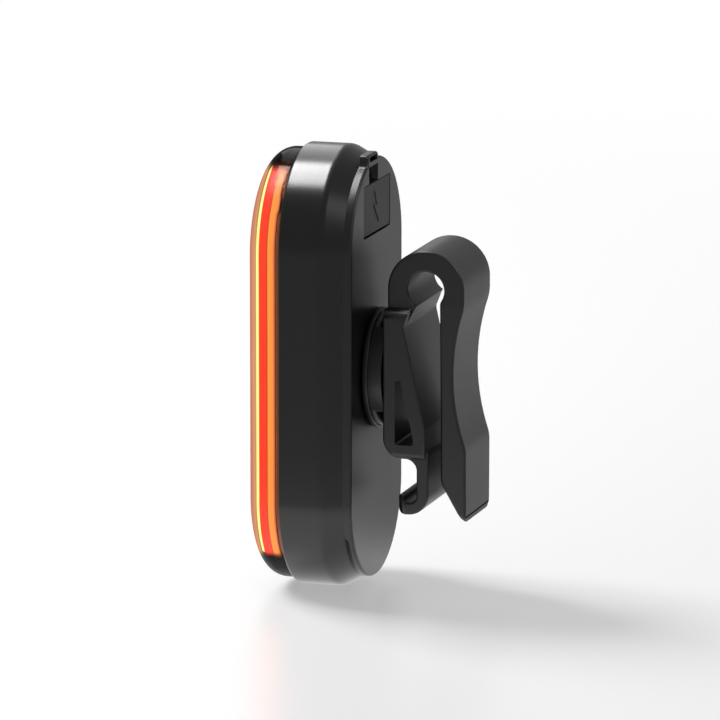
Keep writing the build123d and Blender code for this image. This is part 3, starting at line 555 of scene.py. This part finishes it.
def makeBoardMaterial(values):
    material, tree, shader = startMaterial("solderMask")
    place = addNode(tree, "ShaderNodeTexCoord")
    turn = addNode(tree, "ShaderNodeMapping")
    turn.inputs["Rotation"].default_value = stoodUp
    turn.inputs["Scale"].default_value = [values["trackScale"]] * 3
    tracks = addNode(tree, "ShaderNodeTexBrick")
    for socket, colour in values["colours"].items():
        tracks.inputs[socket].default_value = colour
    tree.links.new(place.outputs["Object"], turn.inputs["Vector"])
    tree.links.new(turn.outputs["Vector"], tracks.inputs["Vector"])
    tree.links.new(tracks.outputs["Color"], shader.inputs["Base Color"])
    roughness = mapTo(tree, objectNoise(tree, values["cloud"]), *values["roughness"])
    tree.links.new(roughness, shader.inputs["Roughness"])
    return material


def makeClearPipe(values):
    material, tree, shader = startMaterial("clearPipe")
    cloud = objectNoise(tree, values["cloud"])
    tree.links.new(mixColours(tree, cloud, *values["colours"]), shader.inputs["Base Color"])
    shader.inputs["Transmission Weight"].default_value = values["clear"]
    tree.links.new(mapTo(tree, cloud, *values["roughness"]), shader.inputs["Roughness"])
    return material


materials["redLightGuide"] = makeGuideMaterial()
materials["litStrip"] = makeStripMaterial()
materials["clearLens"] = makeLensMaterial()
materials["solderMask"] = makeBoardMaterial(boardValues)
materials["clearPipe"] = makeClearPipe(pipeValues)
print("lit materials made")


# The light's outline as a path, for the pieces that follow it
def arcPoints(height, fromAngle, toAngle):
    radius = outlineValues["radius"]
    start, turn = math.radians(fromAngle), math.radians(toAngle - fromAngle)
    steps = max(2, round(outlineValues["arcSteps"] * abs(turn) / math.pi))
    angles = [start + turn * step / steps for step in range(steps + 1)]
    return [(radius * math.cos(angle), height + radius * math.sin(angle)) for angle in angles]


def flatCurve(name, points, radii, closed):
    data = bpy.data.curves.new(name, "CURVE")
    data.dimensions = "3D"
    data.twist_mode = "Z_UP"
    spline = data.splines.new("POLY")
    spline.points.add(len(points) - 1)
    for point, (across, along), radius in zip(spline.points, points, radii):
        point.co = (across, along, 0.0, 1.0)
        point.radius = radius
    spline.use_cyclic_u = closed
    curve = bpy.data.objects.new(name, data)
    scene.collection.objects.link(curve)
    return curve


def startTree(name, inputs):
    tree = bpy.data.node_groups.new(name, "GeometryNodeTree")
    tree.interface.new_socket("Geometry", in_out="INPUT", socket_type="NodeSocketGeometry")
    sockets = {}
    for label, kind in inputs.items():
        socket = tree.interface.new_socket(label, in_out="INPUT", socket_type="NodeSocket" + kind)
        sockets[label] = socket.identifier
    tree.interface.new_socket("Geometry", in_out="OUTPUT", socket_type="NodeSocketGeometry")
    return tree, sockets, addNode(tree, "NodeGroupInput")


def endTree(tree, entry, geometry):
    realize = addNode(tree, "GeometryNodeRealizeInstances")
    finish = addNode(tree, "GeometryNodeSetMaterial")
    out = addNode(tree, "NodeGroupOutput")
    tree.links.new(geometry, realize.inputs["Geometry"])
    tree.links.new(realize.outputs[0], finish.inputs["Geometry"])
    tree.links.new(entry.outputs["Finish"], finish.inputs["Material"])
    tree.links.new(finish.outputs[0], out.inputs[0])


# A profile, each corner rounded by its own point radius, is swept along the path and stood upright
def makeSweepTree():
    tree, sockets, entry = startTree("outlineSweep", {"Profile": "Object", "Corner Steps": "Int",
                                                      "Upright": "Rotation", "Finish": "Material"})
    profile = addNode(tree, "GeometryNodeObjectInfo")
    rounded = addNode(tree, "GeometryNodeFilletCurve", mode="POLY")
    radius = addNode(tree, "GeometryNodeInputRadius")
    sweep = addNode(tree, "GeometryNodeCurveToMesh")
    turn = addNode(tree, "GeometryNodeTransform")
    smooth = addNode(tree, "GeometryNodeSetShadeSmooth")
    rounded.inputs["Limit Radius"].default_value = True
    sweep.inputs["Fill Caps"].default_value = True
    tree.links.new(entry.outputs["Profile"], profile.inputs["Object"])
    tree.links.new(profile.outputs["Geometry"], rounded.inputs["Curve"])
    tree.links.new(entry.outputs["Corner Steps"], rounded.inputs["Count"])
    tree.links.new(radius.outputs[0], rounded.inputs["Radius"])
    tree.links.new(rounded.outputs["Curve"], sweep.inputs["Profile Curve"])
    tree.links.new(entry.outputs["Geometry"], sweep.inputs["Curve"])
    tree.links.new(sweep.outputs["Mesh"], turn.inputs["Geometry"])
    tree.links.new(entry.outputs["Upright"], turn.inputs["Rotation"])
    tree.links.new(turn.outputs["Geometry"], smooth.inputs["Geometry"])
    endTree(tree, entry, smooth.outputs["Geometry"])
    return tree, sockets


def flatten(piece):
    bpy.context.view_layer.update()
    graph = bpy.context.evaluated_depsgraph_get()
    mesh = bpy.data.meshes.new_from_object(piece.evaluated_get(graph), depsgraph=graph)
    piece.modifiers.clear()
    return mesh


def growMesh(piece, tree, settings):
    grow = piece.modifiers.new("grow", "NODES")
    grow.node_group = tree
    for socket, value in settings.items():
        grow[socket] = value
    return flatten(piece)


def sweptMesh(name, path, closed, profile, finish):
    pathCurve = flatCurve(name + "Path", path, [1.0] * len(path), closed)
    corners = [(-inset, depth) for inset, depth, radius in profile]
    profileCurve = flatCurve(name + "Profile", corners, [radius for inset, depth, radius in profile], True)
    mesh = growMesh(pathCurve, sweepTree, {
        sweepSockets["Profile"]: profileCurve,
        sweepSockets["Corner Steps"]: outlineValues["cornerSteps"],
        sweepSockets["Upright"]: stoodUp,
        sweepSockets["Finish"]: materials[finish],
    })
    bpy.data.objects.remove(pathCurve)
    bpy.data.objects.remove(profileCurve)
    return mesh


def smoothPiece(name, mesh, finish, sharpAngle):
    work = bmesh.new()
    work.from_mesh(mesh)
    bmesh.ops.recalc_face_normals(work, faces=work.faces)
    work.to_mesh(mesh)
    work.free()
    mesh.set_sharp_from_angle(angle=math.radians(sharpAngle))
    piece = bpy.data.objects.new(name, mesh)
    scene.collection.objects.link(piece)
    even = piece.modifiers.new("even", "WEIGHTED_NORMAL")
    even.keep_sharp = True
    piece.data = flatten(piece)
    piece.data.materials.clear()
    piece.data.materials.append(materials[finish])
    return piece


def declare(piece, node, body):
    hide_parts(node)
    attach(piece, body)
    print(piece.name, len(piece.data.polygons))


sweepTree, sweepSockets = makeSweepTree()
closedPath = arcPoints(-outlineValues["endHeight"], -180.0, 0.0)
closedPath += arcPoints(outlineValues["endHeight"], 0.0, 180.0)
print("outline path made")


# Housing ring: its section as insets from the outline and depths, each with a corner radius
housingValues = {
    "profile": [
        (0.00183, -0.0015, 0.00003), (0.0, -0.0049, 0.0026), (0.0, -0.0120, 0.0004),
        (0.0009, -0.0127, 0.00010), (0.0016, -0.0127, 0.00005),
        (0.0016, -0.0104, 0.00005), (0.0040, -0.0104, 0.00005),
        (0.0040, -0.0094, 0.00005), (0.0016, -0.0094, 0.00005), (0.0016, -0.0040, 0.00005),
        (0.0036, -0.0040, 0.00005), (0.0036, -0.0015, 0.00005), (0.0031, -0.0015, 0.00005),
        (0.0031, -0.0022, 0.00005), (0.0022, -0.0022, 0.00005), (0.0022, -0.0015, 0.00005),
    ],
    "bossRadius": 0.00137,  # middle of the boss's wall
    "bossWall": 0.00106,
    "bossHeight": 0.0035,
    "bossMiddle": -0.00865,
    "bossReach": 0.0092,
    "bossAngles": (8.0, 57.0),
    "webWidth": 0.0024,
    "webThickness": 0.0010,
    "webMiddle": -0.0099,
    "webInset": 0.0018,  # from the outline to the web's end in the wall
    "bossSides": 32,
    "sharpAngle": 40.0,
}


# Each screw boss stands on a point, and a web runs along the edge from it to the wall
def makeBossTree():
    tree, sockets, entry = startTree("screwBosses", {
        "Boss Radius": "Float", "Boss Wall": "Float", "Boss Height": "Float", "Boss Sides": "Int",
        "Web Width": "Float", "Web Thickness": "Float", "Upright": "Rotation", "Finish": "Material"})
    circle = addNode(tree, "GeometryNodeCurvePrimitiveCircle")
    wall = addNode(tree, "GeometryNodeCurvePrimitiveQuadrilateral")
    tube = addNode(tree, "GeometryNodeCurveToMesh")
    stand = addNode(tree, "GeometryNodeInstanceOnPoints")
    marked = addNode(tree, "GeometryNodeInputNamedAttribute", data_type="BOOLEAN")
    lines = addNode(tree, "GeometryNodeMeshToCurve")
    section = addNode(tree, "GeometryNodeCurvePrimitiveQuadrilateral")
    web = addNode(tree, "GeometryNodeCurveToMesh")
    join = addNode(tree, "GeometryNodeJoinGeometry")
    marked.inputs["Name"].default_value = "boss"
    web.inputs["Fill Caps"].default_value = True
    tree.links.new(entry.outputs["Boss Sides"], circle.inputs["Resolution"])
    tree.links.new(entry.outputs["Boss Radius"], circle.inputs["Radius"])
    tree.links.new(entry.outputs["Boss Wall"], wall.inputs["Width"])
    tree.links.new(entry.outputs["Boss Height"], wall.inputs["Height"])
    tree.links.new(circle.outputs["Curve"], tube.inputs["Curve"])
    tree.links.new(wall.outputs["Curve"], tube.inputs["Profile Curve"])
    tree.links.new(entry.outputs["Geometry"], stand.inputs["Points"])
    tree.links.new(marked.outputs["Attribute"], stand.inputs["Selection"])
    tree.links.new(tube.outputs["Mesh"], stand.inputs["Instance"])
    tree.links.new(entry.outputs["Upright"], stand.inputs["Rotation"])
    tree.links.new(entry.outputs["Geometry"], lines.inputs["Mesh"])
    tree.links.new(entry.outputs["Web Width"], section.inputs["Width"])
    tree.links.new(entry.outputs["Web Thickness"], section.inputs["Height"])
    tree.links.new(lines.outputs["Curve"], web.inputs["Curve"])
    tree.links.new(section.outputs["Curve"], web.inputs["Profile Curve"])
    tree.links.new(stand.outputs["Instances"], join.inputs["Geometry"])
    tree.links.new(web.outputs["Mesh"], join.inputs["Geometry"])
    endTree(tree, entry, join.outputs["Geometry"])
    return tree, sockets


def bossMesh(values):
    places, links, marks = [], [], []
    for end, angle in zip((1.0, -1.0), values["bossAngles"]):
        for side in (-1.0, 1.0):
            x = side * values["bossReach"] * math.cos(math.radians(angle))
            z = end * (outlineValues["endHeight"] + values["bossReach"] * math.sin(math.radians(angle)))
            rise = abs(z) - outlineValues["endHeight"]
            wallX = side * math.sqrt((outlineValues["radius"] - values["webInset"]) ** 2 - rise ** 2)
            edgeX = x + side * values["bossRadius"]
            links.append((len(places) + 1, len(places) + 2))
            places.append((x, values["bossMiddle"], z))
            places += [(edgeX, values["webMiddle"], z), (wallX, values["webMiddle"], z)]
            marks += [True, False, False]
    mesh = bpy.data.meshes.new("bossPlaces")
    mesh.from_pydata(places, links, [])
    mesh.attributes.new("boss", "BOOLEAN", "POINT").data.foreach_set("value", marks)
    piece = bpy.data.objects.new("bossPlaces", mesh)
    scene.collection.objects.link(piece)
    tree, sockets = makeBossTree()
    grown = growMesh(piece, tree, {
        sockets["Boss Radius"]: values["bossRadius"],
        sockets["Boss Wall"]: values["bossWall"],
        sockets["Boss Height"]: values["bossHeight"],
        sockets["Boss Sides"]: values["bossSides"],
        sockets["Web Width"]: values["webWidth"],
        sockets["Web Thickness"]: values["webThickness"],
        sockets["Upright"]: stoodUp,
        sockets["Finish"]: materials["bodyPlastic"],
    })
    bpy.data.objects.remove(piece)
    return grown


def joinMeshes(name, meshes):
    work = bmesh.new()
    for mesh in meshes:
        work.from_mesh(mesh)
    joined = bpy.data.meshes.new(name)
    work.to_mesh(joined)
    work.free()
    return joined


shellMesh = sweptMesh("housing", closedPath, True, housingValues["profile"], "bodyPlastic")
shellMesh = joinMeshes("housingShell", [shellMesh, bossMesh(housingValues)])
housingShell = smoothPiece("housingShell", shellMesh, "bodyPlastic", housingValues["sharpAngle"])
declare(housingShell, "housing", "light")
print("housing made")


# Light strips: a domed bar along each side of the outline
stripValues = {
    "topAngle": 65.0,
    "bottomAngle": 39.0,
    "sharpAngle": 60.0,
    "profile": [
        (0.00195, -0.01585, 0.00003), (0.00405, -0.01585, 0.00003),
        (0.00405, -0.01645, 0.00050), (0.00195, -0.01645, 0.00050),
    ],
}


def stripPath(side):
    low = arcPoints(-outlineValues["endHeight"], -stripValues["bottomAngle"], 0.0)
    high = arcPoints(outlineValues["endHeight"], 0.0, stripValues["topAngle"])
    if side > 0:
        return low + high
    return [(-x, z) for x, z in reversed(low + high)]


for side, label in ((1, "right"), (-1, "left")):
    stripMesh = sweptMesh(label + "Strip", stripPath(side), False, stripValues["profile"], "litStrip")
    strip = smoothPiece(label + "LightStrip", stripMesh, "litStrip", stripValues["sharpAngle"])
    declare(strip, "cob_strip_" + label, "light")
print("light strips made")


# Contacts of the charging socket: a row on each face of its tongue
contactValues = {
    "count": 12,
    "pitch": 0.0005,
    "size": (0.00028, 0.0034, 0.00004),
    "setback": 0.0004,  # from the tongue's tip to the contacts
}


def makeContactTree():
    tree, sockets, entry = startTree("contactRows", {
        "Count": "Int", "Pitch": "Vector", "Contact Size": "Vector", "Finish": "Material"})
    row = addNode(tree, "GeometryNodeMeshLine")
    pad = addNode(tree, "GeometryNodeMeshCube")
    rows = addNode(tree, "GeometryNodeInstanceOnPoints")
    pads = addNode(tree, "GeometryNodeInstanceOnPoints")
    tree.links.new(entry.outputs["Count"], row.inputs["Count"])
    tree.links.new(entry.outputs["Pitch"], row.inputs["Offset"])
    tree.links.new(entry.outputs["Contact Size"], pad.inputs["Size"])
    tree.links.new(row.outputs["Mesh"], pads.inputs["Points"])
    tree.links.new(pad.outputs["Mesh"], pads.inputs["Instance"])
    tree.links.new(entry.outputs["Geometry"], rows.inputs["Points"])
    tree.links.new(pads.outputs["Instances"], rows.inputs["Instance"])
    endTree(tree, entry, rows.outputs["Instances"])
    return tree, sockets


def addContacts(values):
    low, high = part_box("socket_tongue")
    startX = (low.x + high.x - (values["count"] - 1) * values["pitch"]) / 2
    middleY = high.y - values["setback"] - values["size"][1] / 2
    mesh = bpy.data.meshes.new("contactPlaces")
    mesh.from_pydata([(startX, middleY, low.z), (startX, middleY, high.z)], [], [])
    piece = bpy.data.objects.new("chargeContacts", mesh)
    scene.collection.objects.link(piece)
    tree, sockets = makeContactTree()
    piece.data = growMesh(piece, tree, {
        sockets["Count"]: values["count"],
        sockets["Pitch"]: (values["pitch"], 0.0, 0.0),
        sockets["Contact Size"]: values["size"],
        sockets["Finish"]: materials["goldContact"],
    })
    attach(piece, "light")
    print(piece.name, len(piece.data.polygons))


addContacts(contactValues)
print("socket contacts made")


# Smooth copies of the moulded pieces
mouldedPieces = {
    "backCover": {"node": "rear_cover", "body": "light", "slot": "body_plastic", "material": "coverPlastic",
                  "edge": 0.0},
    "clearCover": {"node": "lens_cover", "body": "light", "slot": "clear_lens", "material": "clearLens",
                   "edge": 0.0},
    "lightGuideRing": {"node": "light_guide", "body": "light", "slot": "red_guide",
                       "material": "redLightGuide", "edge": 0.00010},
    "centrePanel": {"node": "centre_panel", "body": "light", "slot": "panel_plastic",
                    "material": "panelPlastic", "edge": 0.00010},
    "portFlap": {"node": "port_flap", "body": "port_flap", "slot": "soft_rubber", "material": "flapRubber",
                 "edge": 0.00006},
    "swivelFoot": {"node": "swivel_disc", "body": "clip", "slot": "body_plastic",
                   "material": "coverPlastic", "edge": 0.0},
    "clipPlate": {"node": "clip_base", "body": "clip", "slot": "clip_plastic", "material": "clipPlastic",
                  "edge": 0.0},
    "clipArm": {"node": "clip_arm", "body": "clip_arm", "slot": "clip_plastic", "material": "clipPlastic",
                "edge": 0.00040},
    "clipLoop": {"node": "clip_loop", "body": None, "slot": "clip_plastic", "material": "clipPlastic",
                 "edge": 0.0},
    "pushButton": {"node": "power_button", "body": "button", "slot": "button_rubber",
                   "material": "buttonRubber", "edge": 0.0},
}
mouldedValues = {
    "weld": 0.000002,
    "flatAngle": 1.0,  # faces that meet at less are one flat face
    "edgeAngle": 30.0,  # edges that turn by more are rounded
    "sharpAngle": 38.0,
    "edgeSteps": 3,
}
clipValues = {
    "splitHeight": 0.0150,  # plane where the loop meets the plate and the arm
    "splitReach": 0.00001,
    "bendStart": (0.0, 0.0079, 0.0150),
    "bendEnd": (0.0, 0.0138, 0.0150),
}


def onSplitPlane(edge):
    heights = [vertex.co.z - clipValues["splitHeight"] for vertex in edge.verts]
    return all(abs(height) < clipValues["splitReach"] for height in heights)


def isEdge(edge, node):
    if len(edge.link_faces) != 2 or (node.startswith("clip_") and onSplitPlane(edge)):
        return False
    return edge.calc_face_angle(0.0) > math.radians(mouldedValues["edgeAngle"])


def mouldedCopy(name, values):
    mesh = nodes[values["node"]].data.copy()
    work = bmesh.new()
    work.from_mesh(mesh)
    bmesh.ops.remove_doubles(work, verts=work.verts, dist=mouldedValues["weld"])
    bmesh.ops.dissolve_limit(work, angle_limit=math.radians(mouldedValues["flatAngle"]),
                             verts=work.verts, edges=work.edges)
    if values["edge"]:
        weights = work.edges.layers.float.new("bevel_weight_edge")
        for edge in work.edges:
            edge[weights] = float(isEdge(edge, values["node"]))
    work.to_mesh(mesh)
    work.free()
    for polygon in mesh.polygons:
        polygon.use_smooth = True
    mesh.set_sharp_from_angle(angle=math.radians(mouldedValues["sharpAngle"]))
    piece = bpy.data.objects.new(name, mesh)
    scene.collection.objects.link(piece)
    if values["edge"]:
        bevel = piece.modifiers.new("edges", "BEVEL")
        bevel.width = values["edge"]
        bevel.segments = mouldedValues["edgeSteps"]
        bevel.limit_method = "WEIGHT"
        bevel.use_clamp_overlap = False
        bevel.miter_outer = "MITER_SHARP"
    even = piece.modifiers.new("even", "WEIGHTED_NORMAL")
    even.keep_sharp = True
    finished = flatten(piece)
    finished.materials.clear()
    finished.materials.append(materials[values["material"]])
    piece.data = finished
    return piece


for pieceName, values in mouldedPieces.items():
    piece = mouldedCopy(pieceName, values)
    if values["body"]:
        declare(piece, values["node"], values["body"])
    else:
        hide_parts(values["node"])
        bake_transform(piece)
        print(pieceName, len(piece.data.polygons))
print("moulded pieces made")


# CAD nodes that keep their shape
nodeFinishes = {
    "strip_leads": "flexFilm", "flap_anchor": "flapRubber", "rear_seal": "sealRubber",
    "lens_seal": "sealRubber", "pivot_seal": "sealRubber", "control_board": "solderMask",
    "board_chips": "chipPlastic",
    "switch_body": "chipPlastic", "switch_plunger": "bushPlastic", "board_screws": "platedSteel",
    "clip_screws": "platedSteel", "pivot_screw": "platedSteel", "pivot_washer": "platedSteel",
    "charge_socket": "platedSteel", "socket_tongue": "chipPlastic", "battery": "cellFoil",
    "battery_pad": "foamPad", "battery_leads": "leadSleeve", "indicator_pipe": "clearPipe",
    "indicator_led": "ledDie", "pivot_insert": "knurledBrass", "pivot_bush": "bushPlastic",
}
for nodeName, finish in nodeFinishes.items():
    node = nodes[nodeName]
    node.data.materials.clear()
    node.data.materials.append(materials[finish])
print("node finishes set")
